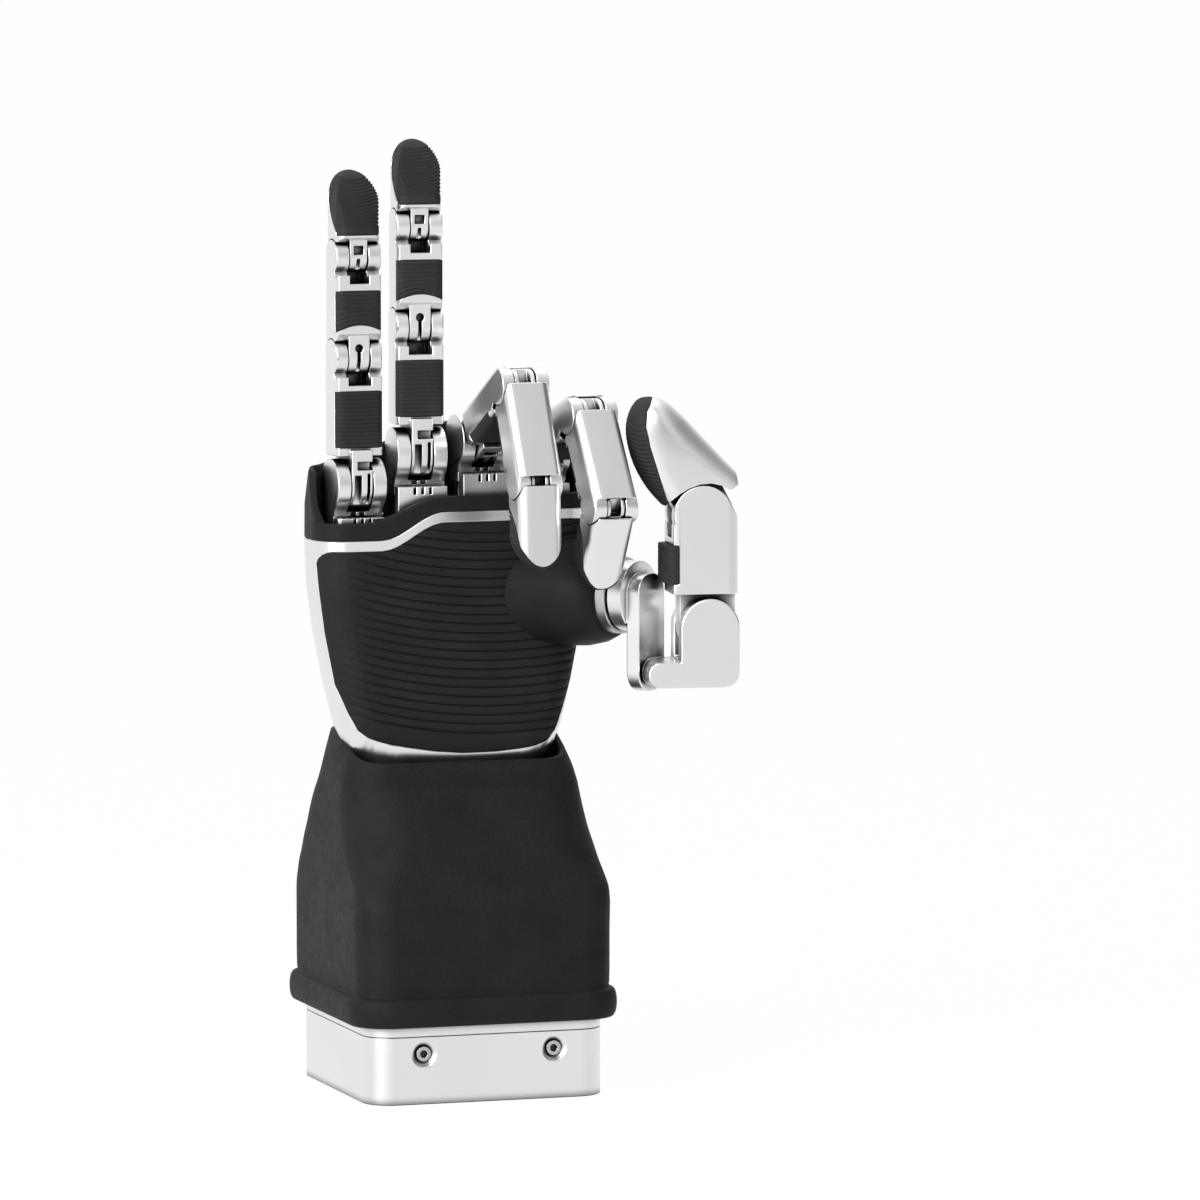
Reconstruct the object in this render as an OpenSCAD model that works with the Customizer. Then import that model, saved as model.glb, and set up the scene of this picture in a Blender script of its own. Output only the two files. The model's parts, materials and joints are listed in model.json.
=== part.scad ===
// Dexterous robot hand: right hand, palm toward -Y, thumb toward +X, fingers up +Z.
// Millimetres. The stored pose has two straight fingers and two curled ones.

/* [Which node] */
// node to draw, or all

/* [Forearm] */
// width and depth of the square forearm housing
house_w = 84; // [74:1:94]
// corner radius of the housing
house_r = 10; // [4:1:14]
// height of the lower housing, up to its seam
house_h = 23; // [18:1:40]
// wall of the housing tube
house_wall = 4; // [3:0.5:6]
// thickness of the base flange inside the housing
flange_t = 8; // [5:1:12]
// bolt circle of the base flange
flange_pcd = 50; // [40:1:60]
// radius of the four flange bolt holes (M6 clearance)
flange_hole_r = 3.3; // [2:0.1:4]
// radius of the flange's central passage
flange_bore_r = 15.75; // [8:0.25:20]
// distance of the front screws from the centre line
house_screw_x = 23; // [15:1:30]
// height of the front screws
house_screw_z = 17; // [10:1:20]
// radius of a front screw's head
house_screw_r = 2.5; // [2:0.1:4]

/* [Wrist] */
// height of the wrist hinge
wrist_z = 90; // [80:1:100]
// radius of the wrist pin
wrist_pin_r = 5; // [3:0.5:7]
// width of the palm's lug on the wrist pin
wrist_lug_w = 22; // [16:1:30]
// thickness of each wrist yoke ear
wrist_ear_t = 9; // [6:1:14]
// side play between the yoke ears and the lug
wrist_play = 0.4; // [0.2:0.1:1]
// how far the soft sleeve's lower box stands out from the housing
sleeve_stand = 3; // [2:0.5:6]
// half width of the sleeve's rim at the palm
rim_hw = 38.4; // [36:0.2:41]
// reach of the sleeve's rim in front of the wrist
rim_front = 17.6; // [16:0.2:20]
// reach of the sleeve's rim behind the wrist
rim_back = 26; // [20:0.5:30]
// wall of the soft sleeve
sleeve_t = 2.2; // [1.5:0.1:3]
// height of the bead's lower edge
bead_z = 26.5; // [24:0.5:30]
// height of the bead
bead_h = 10; // [6:0.5:14]
// how far the bead stands out from the sleeve
bead_out = 2.5; // [1:0.5:4]

/* [Palm] */
// half width of the palm at the knuckles
palm_hw = 49; // [44:1:54]
// palm centre line, off the forearm's
palm_x = -1.5; // [-4:0.5:4]
// palm face, in front of the knuckle axes
palm_front = 14.5; // [12:0.5:18]
// back of the hand, behind the knuckle axes
palm_back = 14; // [12:0.5:18]
// wall of the palm shell
shell_t = 3.2; // [2:0.2:5]
// thickness of the soft palm pad
pad_t = 4.8; // [3:0.2:6]
// front and rear thickness of the knuckle cuff
cuff_t = 4.4; // [3:0.2:6]
// side thickness of the knuckle cuff
cuff_side_t = 2.4; // [2:0.2:5]
// where the pad ends on the palm's sides
pad_side_y = -4.5; // [-8:0.5:0]
// height of the bright band above the pad
band_h = 3.6; // [2:0.2:6]

/* [Fingers] */
// knuckle axis to middle joint
len_prox = 43.25; // [38:0.25:50]
// middle joint to end joint
len_mid = 34; // [28:0.5:40]
// end joint to fingertip
len_dist = 29.2; // [24:0.2:34]
// width of the proximal links
prox_w = 16.8; // [14:0.2:19]
// width of the middle links
mid_w = 16.2; // [14:0.2:19]
// rim of the pad that shows past a fingertip's metal back
tip_rim = 0.9; // [0.5:0.1:1.5]
// width of the fingertips
tip_w = 15.5; // [13:0.1:18]
// metal depth of a finger in front of its axis
finger_palmar = 6.4; // [5:0.1:8]
// depth of a finger behind its axis
finger_dorsal = 7; // [5:0.1:9]
// how far the pads stand proud of the metal
pad_proud = 0.7; // [0.2:0.1:1.5]
// width of a knuckle
knuckle_w = 17.4; // [16:0.2:20]
// radius of a knuckle disc
knuckle_r = 9; // [7:0.5:10]
// room in the cuff beside a knuckle that spreads
cuff_play = 2.8; // [1:0.1:3.5]
// how far a finger bends backward
back_bend = 10; // [0:1:15]
// radius of a middle joint's ears
pip_r = 6.2; // [5:0.1:7]
// radius of an end joint's ears
dip_r = 5.8; // [5:0.1:7]
// width of the tongue in a knuckle
mcp_tongue_w = 7.4; // [6:0.2:9]
// width of the tongue in a middle joint
pip_tongue_w = 7.4; // [6:0.2:9]
// width of the tongue in an end joint
dip_tongue_w = 6.2; // [5:0.2:8]
// side play of every tongue
tongue_play = 0.35; // [0.2:0.05:0.6]
// radius of the knuckle pins
mcp_pin_r = 2.5; // [1.5:0.1:3.5]
// radius of the finger pins
pip_pin_r = 2; // [1.2:0.1:3]
// metal left over a pin at the closed end of its bore
pin_cover = 1.2; // [0.6:0.1:2]
// rise of the arched lower edge of the middle links' pads
pad_arch = 2.4; // [1:0.2:4]
// depth of the spread pivot below the knuckle axis
spread_drop = 16; // [14:0.5:20]
// radius of the eye on the spread pivot
spread_eye_r = 5.5; // [4:0.5:7]
// radius of the spread pins
spread_pin_r = 2; // [1.5:0.1:3]
// width of the neck plate in front of a spread pivot
neck_w = 17.2; // [14:0.2:19]

/* [Thumb] */
// width of the thumb links
thumb_w = 19; // [16:0.5:22]
// length of the thumb's proximal link
thumb_prox = 38; // [32:1:46]
// width of the tongue in the thumb joints
thumb_tongue_w = 8.6; // [6:0.2:12]
// radius of the thumb's lower joint
thumb_mcp_r = 10; // [8:0.5:12]
// radius of the thumb's upper joint
thumb_ip_r = 9; // [7:0.5:11]
// radius of the thumb pins
thumb_pin_r = 2.5; // [1.5:0.1:4]
// radius of the thumb's swivel disc
swivel_r = 12; // [10:0.5:14]
// radius of the swivel's spindle
spindle_r = 5; // [3:0.5:7]
// radius of the fixed thumb base
base_r = 13; // [11:0.5:15]
// width of the arm on the swivel disc
arm_w = 16; // [12:0.5:18]
// length of the arm below the swivel's axis
arm_l = 32; // [28:0.5:36]
// thickness of the arm
arm_t = 4.9; // [4:0.1:7]
// clearance of the palm's opening around the thumb base
boot_lip = 0.6; // [0.3:0.1:2]

/* [Fits] */
// radial clearance of a running pin
run_gap = 0.05; // [0.01:0.01:0.1]
// radial clearance of a pressed pin
tight_gap = 0.01; // [0.01:0.01:0.05]
// gap between moving shells
shell_gap = 0.35; // [0.2:0.05:0.6]

/* [Hidden] */
$fn = 48;

silver = [0.80, 0.80, 0.81];
steel = [0.62, 0.63, 0.65];
black = [0.16, 0.16, 0.17];
grey = [0.24, 0.24, 0.25];

// knuckle axes: x, z, turn of the bending plane
mcp_x = [-34.5, -12.5, 9.5, 30.5];
mcp_z = [206.3, 216.4, 220.3, 216.2];
yaw = [3, -2, 4, 7];
// bend of the three joints in the stored pose
bend = [[0, 0, 0], [0, 0, 0], [61, 96, 20], [70, 80, 55]];

// thumb: lower joint, turn of its plane, bend of its upper joint
thumb_at = [74.3, -49, 159.5];
thumb_yaw = -99;
thumb_bend = 28;
// thumb swivel: face centre and direction
swivel_at = [55, -37, 169];
swivel_dir = -52;
swivel_t = 5.6;

// ---------- profiles ----------
function arcp(c, r, a0, a1, n) = [for (i = [0:n])
  c + r * [cos(a0 + (a1 - a0) * i / n), sin(a0 + (a1 - a0) * i / n)]];

function rr(x0, x1, y0, y1, r, n) = concat(
  arcp([x1 - r, y0 + r], r, -90, 0, n),
  arcp([x1 - r, y1 - r], r, 0, 90, n),
  arcp([x0 + r, y1 - r], r, 90, 180, n),
  arcp([x0 + r, y0 + r], r, 180, 270, n));

function smooth(t) = t < 0 ? 0 : t > 1 ? 1 : t * t * (3 - 2 * t);

module along_x(pts, x0, x1) {
  translate([x0, 0, 0]) rotate([90, 0, 90])
    linear_extrude(x1 - x0) polygon(pts);
}

module along_y(pts, y0, y1) {
  translate([0, y1, 0]) rotate([90, 0, 0])
    linear_extrude(y1 - y0) polygon(pts);
}

module bar_x(r, x0, x1) {
  translate([x0, 0, 0]) rotate([0, 90, 0]) cylinder(r = r, h = x1 - x0);
}

module bar_y(r, y0, y1) {
  translate([0, y1, 0]) rotate([90, 0, 0]) cylinder(r = r, h = y1 - y0);
}

// one solid through a stack of rings with the same number of points
module loft(rings) {
  n = len(rings[0]);
  m = len(rings);
  pts = [for (r = rings) for (p = r) p];
  sides = [for (k = [0:m - 2]) for (i = [0:n - 1]) let (j = (i + 1) % n)
    each [[k * n + i, (k + 1) * n + j, k * n + j],
          [k * n + i, (k + 1) * n + i, (k + 1) * n + j]]];
  polyhedron(points = pts, faces = concat([[for (i = [0:n - 1]) i]],
    sides, [[for (i = [n - 1:-1:0]) (m - 1) * n + i]]));
}

// a tube: the stack of rings closes on itself
module loft_tube(rings) {
  n = len(rings[0]);
  m = len(rings);
  pts = [for (r = rings) for (p = r) p];
  polyhedron(points = pts, faces =
    [for (k = [0:m - 1]) for (i = [0:n - 1]) let (j = (i + 1) % n, q = (k + 1) % m)
      each [[k * n + i, q * n + j, k * n + j],
            [k * n + i, q * n + i, q * n + j]]]);
}

// ---------- forearm ----------
module forearm_housing() color(silver) difference() {
  linear_extrude(house_h)
    polygon(rr(-house_w / 2, house_w / 2, -house_w / 2, house_w / 2, house_r, 8));
  translate([0, 0, -1]) linear_extrude(house_h + 2)
    polygon(rr(-house_w / 2 + house_wall, house_w / 2 - house_wall,
      -house_w / 2 + house_wall, house_w / 2 - house_wall, house_r - house_wall, 6));
  for (s = [-1, 1]) translate([s * house_screw_x, 0, house_screw_z]) {
    bar_y(house_screw_r + tight_gap, -house_w / 2 - 1, -house_w / 2 + house_wall + 1);
    translate([0, -house_w / 2 + 1.6, 0]) rotate([90, 0, 0])
      cylinder(r1 = house_screw_r + 0.3, r2 = house_screw_r + 2.2, h = 1.9);
  }
}

module housing_screws() color(steel) for (s = [-1, 1])
  translate([s * house_screw_x, 0, house_screw_z]) difference() {
    bar_y(house_screw_r, -house_w / 2 + 0.9, -house_w / 2 + house_wall);
    bar_y(1.25, -house_w / 2, -house_w / 2 + 2.6);
  }

module base_flange() color(steel) difference() {
  linear_extrude(flange_t)
    polygon(rr(-house_w / 2 + house_wall, house_w / 2 - house_wall,
      -house_w / 2 + house_wall, house_w / 2 - house_wall, house_r - house_wall, 6));
  translate([0, 0, -1]) cylinder(r = flange_bore_r, h = flange_t + 2);
  for (a = [45:90:315]) rotate([0, 0, a]) translate([flange_pcd / 2, 0, -1])
    cylinder(r = flange_hole_r, h = flange_t + 2);
}

sleeve_h = house_w / 2 + sleeve_stand;
collar_top = bead_z + bead_h + 3;
yoke_in = wrist_lug_w / 2 + wrist_play;
module collar_plate() color(silver) {
  difference() {
    translate([0, 0, house_h]) linear_extrude(collar_top - house_h)
      polygon(rr(-house_w / 2, house_w / 2, -house_w / 2, house_w / 2, house_r, 8));
    translate([0, 0, house_h + 5]) linear_extrude(collar_top)
      polygon(rr(-house_w / 2 + house_wall, house_w / 2 - house_wall,
        -house_w / 2 + house_wall, house_w / 2 - house_wall, house_r - house_wall, 6));
    translate([0, 0, house_h - 1]) cylinder(r = flange_bore_r - 6, h = 8);
  }
  for (s = [-1, 1]) difference() {
    along_x([[-11, wrist_z], [-20, house_h + 4.5], [20, house_h + 4.5], [11, wrist_z],
      each arcp([0, wrist_z], 11, 10, 170, 14)],
      s > 0 ? yoke_in : -yoke_in - wrist_ear_t, s > 0 ? yoke_in + wrist_ear_t : -yoke_in);
    translate([0, 0, wrist_z])
      bar_x(wrist_pin_r + tight_gap, -yoke_in - wrist_ear_t - 1, yoke_in + wrist_ear_t + 1);
  }
}

module wrist_pin() color(steel) translate([0, 0, wrist_z])
  bar_x(wrist_pin_r, -yoke_in - wrist_ear_t, yoke_in + wrist_ear_t);

// a smooth curve through the rows a, b, c, d between b and c
function between(a, b, c, d, u) = 0.5 * (2 * b + (c - a) * u
  + (2 * a - 5 * b + 4 * c - d) * u * u + (3 * b - a - 3 * c + d) * u * u * u);
// sleeve: z, then how much of the box remains in width, front and back, corner radius
sleeve_rows = [[44, 1, 1, 1, 12], [56, 1, 1, 1, 12], [67, 1, 0.98, 0.98, 12.5],
  [73, 0.94, 0.93, 0.9, 14], [80, 0.82, 0.76, 0.79, 17], [88, 0.62, 0.53, 0.63, 20],
  [97, 0.42, 0.29, 0.45, 19], [106, 0.24, 0.13, 0.26, 16], [113, 0.09, 0.04, 0.1, 13],
  [118, 0, 0, 0, 12]];
sleeve_n = len(sleeve_rows) - 1;
function sleeve_row(k) = sleeve_rows[min(max(k, 0), sleeve_n)];
function sleeve_at(r) = [r[0], rim_hw + (sleeve_h - rim_hw) * r[1],
  rim_front + (sleeve_h - rim_front) * r[2], rim_back + (sleeve_h - rim_back) * r[3], r[4]];
function bead_sec(z, f) = [z, sleeve_h + bead_out * f, sleeve_h + bead_out * f,
  sleeve_h + bead_out * f, 12 + bead_out * f];
sleeve_out = concat(
  [bead_sec(bead_z, 0), bead_sec(bead_z + 0.9, 0.6), bead_sec(bead_z + 2.4, 0.95),
   bead_sec(bead_z + bead_h / 2, 1), bead_sec(bead_z + bead_h - 2.4, 0.95),
   bead_sec(bead_z + bead_h - 0.8, 0.6), bead_sec(bead_z + bead_h, 0)],
  [for (k = [0:sleeve_n - 1]) for (u = [0, 0.5])
    sleeve_at(between(sleeve_row(k - 1), sleeve_row(k), sleeve_row(k + 1),
      sleeve_row(k + 2), u))],
  [sleeve_at(sleeve_rows[sleeve_n])]);
sleeve_in = [for (s = sleeve_out) if (s[0] > bead_z + bead_h || s[0] <= bead_z)
  [s[0], s[1] - sleeve_t, s[2] - sleeve_t, s[3] - sleeve_t, s[4] - sleeve_t]];
// the rim rises toward the back of the hand
function rim(z, y) = z < 104 ? z : z + (z - 104) / 14 * (-5 + 8 * smooth((y + 18) / 30));
function sleeve_ring(s) = [for (p = rr(-s[1], s[1], -s[2], s[3], s[4], 6))
  [p[0], p[1], rim(s[0], p[1])]];
module wrist_sleeve() color(grey) loft_tube(concat(
  [for (s = sleeve_out) sleeve_ring(s)],
  [for (i = [len(sleeve_in) - 1:-1:0]) sleeve_ring(sleeve_in[i])]));

// ---------- palm ----------
// z, half width, front, back, front corner radius, rear corner radius
palm_secs = [
  [113, 25, 8.5, 8.5, 6, 6], [113.8, 28.8, 11.2, 10.8, 7.5, 7.5],
  [116, 32.6, 13, 12.6, 9, 9], [120, 36, 14.1, 13.6, 10, 10],
  [126, 39, 14.5, 14, 11, 10], [139, 42.8, 14.5, 14, 12, 10],
  [157, 46.4, 14.5, 14, 12, 10], [172, 48.4, 14.5, 14, 12, 10],
  [188, 49, 14.5, 14, 12, 10], [200, 48.9, 14.5, 14, 12, 10],
  [213, 47.3, 14.5, 14, 12, 10], [234, 44, 14.5, 14, 12, 10]];
function palm_ring(s, ix, iy) = let (h = s[1] + palm_hw - 49 - ix,
  f = s[2] + palm_front - 14.5 - iy, b = s[3] + palm_back - 14 - iy,
  rf = max(1.5, s[4] - min(ix, iy)), rb = max(1.5, s[5] - min(ix, iy)))
  concat(
  [for (p = arcp([h - rf, -f + rf], rf, -90, 0, 6)) [palm_x + p[0], p[1], s[0]]],
  [for (p = arcp([h - rb, b - rb], rb, 0, 90, 6)) [palm_x + p[0], p[1], s[0]]],
  [for (p = arcp([-h + rb, b - rb], rb, 90, 180, 6)) [palm_x + p[0], p[1], s[0]]],
  [for (p = arcp([-h + rf, -f + rf], rf, 180, 270, 6)) [palm_x + p[0], p[1], s[0]]]);
module palm_form(ix, iy, up, z_top) {
  loft([for (s = palm_secs) if (s[0] <= z_top)
    [for (p = palm_ring(s, ix, iy)) [p[0], p[1], p[2] + (p[2] < 130 ? up : 0)]]]);
}

// lines across the palm: the band under the cuff, and the cuff's own edges
function band_low(x) = 184.6 + 9.2 * smooth((x + 29) / 22);
function band_top(x) = band_low(x) + band_h;
function cuff_front(x) = 194 + 8.6 * smooth((x + 35) / 28);
function cuff_rear(x) = 212 + 14.5 * smooth((x + 50) / 58) - 11 * smooth((x - 12) / 36);
line_x = [-60, -52, each [for (x = [-44:3:50]) x], 56, 62];
module under(kind, y0, y1) {
  along_y(concat([[62, 90], [-60, 90]], [for (x = line_x) [x,
    kind == 0 ? band_low(x) : kind == 1 ? band_top(x) : kind == 2 ? cuff_front(x) :
    cuff_rear(x)]]), y0, y1);
}
module over(kind, y0, y1) {
  along_y(concat([[62, 260], [-60, 260]], [for (x = line_x) [x,
    kind == 0 ? band_low(x) : kind == 1 ? band_top(x) : kind == 2 ? cuff_front(x) :
    cuff_rear(x)]]), y0, y1);
}
// outline of the pad on the palm's face, rounded at its top corners
pad_side = [for (s = palm_secs) if (s[0] < 180)
  [s[1] + palm_hw - 49 - 0.9, s[0] + (s[0] < 130 ? 4 : 0)]];
pad_top_h = palm_hw - 0.9;
module pad_zone(y0, y1, grow) {
  along_y(concat(
    [for (p = pad_side) [palm_x + p[0] + grow, p[1] - grow]],
    arcp([palm_x + pad_top_h - 4 + grow, band_low(45) - 4 + grow], 4, 0, 90, 4),
    [for (x = [40:-3:-40]) [x, band_low(x) + grow]],
    arcp([palm_x - pad_top_h + 4 - grow, band_low(-45) - 4 + grow], 4, 90, 180, 4),
    [for (i = [len(pad_side) - 1:-1:0])
      [palm_x - pad_side[i][0] - grow, pad_side[i][1] - grow]]), y0, y1);
}
module base_axis() {
  translate(swivel_at) rotate([0, 0, swivel_dir]) children();
}

module lug_way() translate([0, 0, 100])
  cube([wrist_lug_w + 6, 14, 40], center = true);
module palm_shell() color(silver) difference() {
  palm_form(0, 0, 0, 213);
  palm_form(shell_t, shell_t, shell_t, 234);
  over(1, -30, 30);
  pad_zone(-30, pad_side_y, 0);
  base_axis() bar_x(base_r + boot_lip, -40, 6);
  lug_way();
}

module palm_pad() color(grey) difference() {
  intersection() {
    palm_form(0, 0, 0, 213);
    pad_zone(-30, pad_side_y, 0);
  }
  palm_form(pad_t, pad_t, pad_t, 234);
  base_axis() bar_x(base_r + boot_lip, -40, 6);
  lug_way();
}

module knuckle_cuff() color(grey) difference() {
  palm_form(0, 0, 0, 234);
  palm_form(cuff_side_t, cuff_t, 0, 234);
  under(1, -30, 30);
  over(2, -30, -6);
  over(3, -6.1, 30);
  for (s = [-1, 1]) along_x([[-6.2, cuff_front(s * 60)], [-6.2, 260], [9.6, 260],
    [9.6, cuff_rear(s * 44)], [4, cuff_rear(s * 44) - 2]],
    s < 0 ? -60 : palm_x + 40, s < 0 ? palm_x - 40 : 60);
  for (i = [0:3]) at_mcp(i) {
    bar_x(knuckle_r + 0.6, -knuckle_w / 2 - cuff_play, knuckle_w / 2 + cuff_play);
    translate([-knuckle_w / 2 - cuff_play, 0, -11])
      cube([knuckle_w + 2 * cuff_play, knuckle_r + 0.6, 11]);
    rotate([-back_bend, 0, 0]) translate([-prox_w / 2 - 2.4, -14, 0])
      cube([prox_w + 4.8, 14 + knuckle_r + 0.2, 40]);
  }
}

lug_gap = 4 + shell_gap;
neck_y = 8.6;
// flat plate in front of a spread pivot, slotted at its top; the pin's bore is blind
module neck_plate() difference() {
  translate([-neck_w / 2, -neck_y, -10]) cube([neck_w, neck_y - lug_gap, 15.2]);
  for (x = [-3.2, -0.5, 2.2]) translate([x, -neck_y - 1, 2.6]) cube([1, 3.2, 3]);
  bar_y(spread_pin_r + tight_gap, 1.6 - neck_y, 0);
}

module palm_frame() color(steel) {
  intersection() {
    for (i = [0:3]) translate([mcp_x[i], 0, mcp_z[i] - spread_drop])
      rotate([0, 0, yaw[i]]) neck_plate();
    palm_form(pad_t + shell_gap, pad_t, pad_t + shell_gap, 234);
  }
  frame_body();
}

module frame_body() difference() {
  union() {
    intersection() {
      along_y([[-28, 119], [25, 119], [41, 128], [46, 193],
        [mcp_x[3] + 11, mcp_z[3] - spread_drop - 6.3],
        [mcp_x[2] - 11, mcp_z[2] - spread_drop - 6.3],
        [mcp_x[1] + 11, mcp_z[1] - spread_drop - 6.3],
        [mcp_x[1] - 11, mcp_z[1] - spread_drop - 6.3],
        [mcp_x[0] + 11, mcp_z[0] - spread_drop - 6.3],
        [-46, mcp_z[0] - spread_drop - 6.3], [-46, 128]], -30, 30);
      palm_form(pad_t + shell_gap, pad_t, pad_t + shell_gap, 234);
    }
    for (i = [0:3]) translate([mcp_x[i], 0, mcp_z[i] - spread_drop])
      rotate([0, 0, yaw[i]]) {
        bar_y(spread_eye_r, lug_gap, 8.4);
        translate([-spread_eye_r, lug_gap, -9]) cube([2 * spread_eye_r, 8.4 - lug_gap, 9]);
      }
    difference() {
      union() {
        translate([0, 0, wrist_z]) bar_x(10.5, -wrist_lug_w / 2, wrist_lug_w / 2);
        translate([-wrist_lug_w / 2, -6.5, wrist_z])
          cube([wrist_lug_w, 13, 125 - wrist_z]);
      }
      translate([0, 0, wrist_z])
        bar_x(wrist_pin_r + run_gap, -wrist_lug_w, wrist_lug_w);
    }
  }
  for (i = [0:3]) translate([mcp_x[i], 0, mcp_z[i] - spread_drop])
    rotate([0, 0, yaw[i]]) {
      translate([-11.5, -lug_gap, -6.3]) cube([23, 2 * lug_gap, 30]);
      bar_y(spread_pin_r + tight_gap, 1.6 - neck_y, 12);
      translate([-11.5, -20, spread_eye_r - 12]) cube([6, 40, 40]);
      translate([5.5, -20, spread_eye_r - 12]) cube([6, 40, 40]);
    }
  base_axis() bar_x(base_r + 0.02, -60, 6);
}

module spread_pins() color(steel) for (i = [0:3])
  translate([mcp_x[i], 0, mcp_z[i] - spread_drop]) rotate([0, 0, yaw[i]])
    bar_y(spread_pin_r, 1.9 - neck_y, 8.4);

cover_w = 60;
cover_h = 52;
module back_cover() color(grey) difference() {
  translate([palm_x, 0, 158]) along_y(rr(-cover_w / 2, cover_w / 2,
    -cover_h / 2, cover_h / 2, 6, 5), palm_back, palm_back + 1.6);
  for (x = [-1, 1]) for (z = [-1, 1])
    translate([palm_x + x * (cover_w / 2 - 5), 0, 158 + z * (cover_h / 2 - 5)])
      bar_y(2 + tight_gap, palm_back - 1, palm_back + 3);
}

module cover_screws() color(steel) for (x = [-1, 1]) for (z = [-1, 1])
  translate([palm_x + x * (cover_w / 2 - 5), 0, 158 + z * (cover_h / 2 - 5)])
    difference() {
      bar_y(2, palm_back, palm_back + 1.4);
      bar_y(0.9, palm_back + 0.5, palm_back + 3);
    }

module thumb_base() color(silver) base_axis() difference() {
  bar_x(base_r, -40, -swivel_t - shell_gap);
  bar_x(spindle_r + run_gap, -24, 2);
}

module thumb_boot() color(grey) difference() {
  base_axis() rotate([0, 90, 0]) rotate([0, 0, 90]) rotate_extrude()
    polygon([[base_r + 0.02, -44], [base_r + 5.2, -44], [base_r + 5.2, -27],
      [base_r + 4.8, -20],
      [base_r + 3.4, -14], [base_r + 1.6, -10.5], [base_r + 0.02, -9.6]]);
  palm_form(-0.02, -0.02, 0, 213);
}

// ---------- fingers ----------
module at_mcp(i) translate([mcp_x[i], 0, mcp_z[i]]) rotate([0, 0, yaw[i]]) children();
module at_prox(i) at_mcp(i) rotate([bend[i][0], 0, 0]) children();
module at_mid(i) at_prox(i) translate([0, 0, len_prox])
  rotate([bend[i][1], 0, 0]) children();
module at_dist(i) at_mid(i) translate([0, 0, len_mid])
  rotate([bend[i][2], 0, 0]) children();

neck_f = 4;
fil = 4;
fil_z = sqrt(pow(knuckle_r + fil, 2) - pow(neck_f + fil, 2));
fil_a = atan2(fil_z, neck_f + fil);
knuckle_side = concat(arcp([0, 0], knuckle_r, 0, 180 + fil_a, 30),
  arcp([-neck_f - fil, -fil_z], fil, fil_a, 0, 5),
  [[-neck_f, -10.3], [knuckle_r, -10.3]]);

module knuckle(i) color(silver) at_mcp(i) difference() {
  union() {
    along_x(knuckle_side, -knuckle_w / 2, knuckle_w / 2);
    translate([-8.8, -neck_f, -13.5]) cube([17.6, 2 * neck_f, 3.6]);
    translate([-spread_eye_r, -neck_f, -spread_drop])
      cube([2 * spread_eye_r, 2 * neck_f, spread_drop - 10]);
    translate([0, 0, -spread_drop]) bar_y(spread_eye_r, -neck_f, neck_f);
  }
  translate([-mcp_tongue_w / 2 - tongue_play, -20, -knuckle_r + 0.2])
    cube([mcp_tongue_w + 2 * tongue_play, 40, 30]);
  bar_x(mcp_pin_r + run_gap, -knuckle_w / 2 + pin_cover, 12);
  translate([0, 0, -spread_drop]) bar_y(spread_pin_r + run_gap, -12, 12);
  for (x = [-2.6, 0.4]) translate([x, -neck_f - 4, -knuckle_r - 1.8])
    cube([1.8, 5.6, 2.8]);
}

// side profile of a link between its lower joint (radius r0) and upper joint (radius r1)
function link_side(r0, r1, l, z_lo) = concat(
  r0 > 8 ? [[finger_dorsal, z_lo], [-finger_palmar, z_lo]] :
    [[finger_dorsal, 1.2], each arcp([0, 0], r0 + 0.3, 11, 122, 10),
     [-4.7, r0], [-finger_palmar, r0 + 2.1]],
  [[-finger_palmar, l - r1 - 0.2]],
  arcp([0, l], r1 + 2.4, 230, 238, 2),
  arcp([0, l], r1, 238, 0, 22),
  [[finger_dorsal, l + 0.2]]);

module tongue(r, w, z1) difference() {
  along_x(concat([[r, z1], [-r, z1]], arcp([0, 0], r, 180, 360, 18)), -w / 2, w / 2);
}

// cylinder across a link whose top rises above z0 in the middle of the width
module arch(w, z0, rise, grow) let (r = (w * w / 4 + rise * rise) / (2 * rise))
  translate([0, 0, z0 + rise - r]) bar_y(r + grow, -21, 0);

module link(w, r0, r1, l, z_lo, tw0, tw1, bore0, pin1, pad0, pad1, rise = 0) {
  difference() {
    union() {
      intersection() {
        linear_extrude(l + r1 + 1)
          polygon(rr(-w / 2, w / 2, -finger_palmar - 1, finger_dorsal, 3, 5));
        along_x(link_side(r0, r1, l, z_lo), -w, w);
      }
      tongue(r0 - 0.5, tw0, z_lo + 2);
    }
    // recess for the pad
    difference() {
      translate([-w, -20, pad0]) cube([2 * w, 20 - finger_palmar + 2.4, pad1 - pad0]);
      if (rise > 0) arch(w, pad0, rise, 0);
    }
    // pocket for the next link's tongue
    translate([-tw1 / 2 - tongue_play, -20, l]) cube([tw1 + 2 * tongue_play, 40, 30]);
    translate([-tw1 / 2 - tongue_play, -20, l - r1 - 3.2])
      cube([tw1 + 2 * tongue_play, 23, r1 + 4]);
    translate([0, 0, l]) bar_x(r1 + 0.1, -tw1 / 2 - tongue_play, tw1 / 2 + tongue_play);
    bar_x(bore0, -12, 12);
    translate([0, 0, l]) bar_x(pin1 + tight_gap, -w / 2 + pin_cover, 12);
  }
}

pad_lo = 13;
pad_hi = len_prox - 11.3;
mpad_lo = 8.8;
mpad_hi = len_mid - 11.4;

module proximal(i) color(silver) at_prox(i) difference() {
  link(prox_w, knuckle_r, pip_r, len_prox, 10.2, mcp_tongue_w, pip_tongue_w,
    mcp_pin_r + tight_gap, pip_pin_r, pad_lo, pad_hi);
  // window and slots in the tongue's face
  translate([-1.7, -knuckle_r - 1, 5.4]) cube([6, 4.4, 2.9]);
  translate([-2.6, -knuckle_r - 1, -9]) cube([2.4, 4.4, 12.6]);
  translate([1.9, -knuckle_r - 1, -9]) cube([1, 4.4, 13.2]);
}

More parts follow.
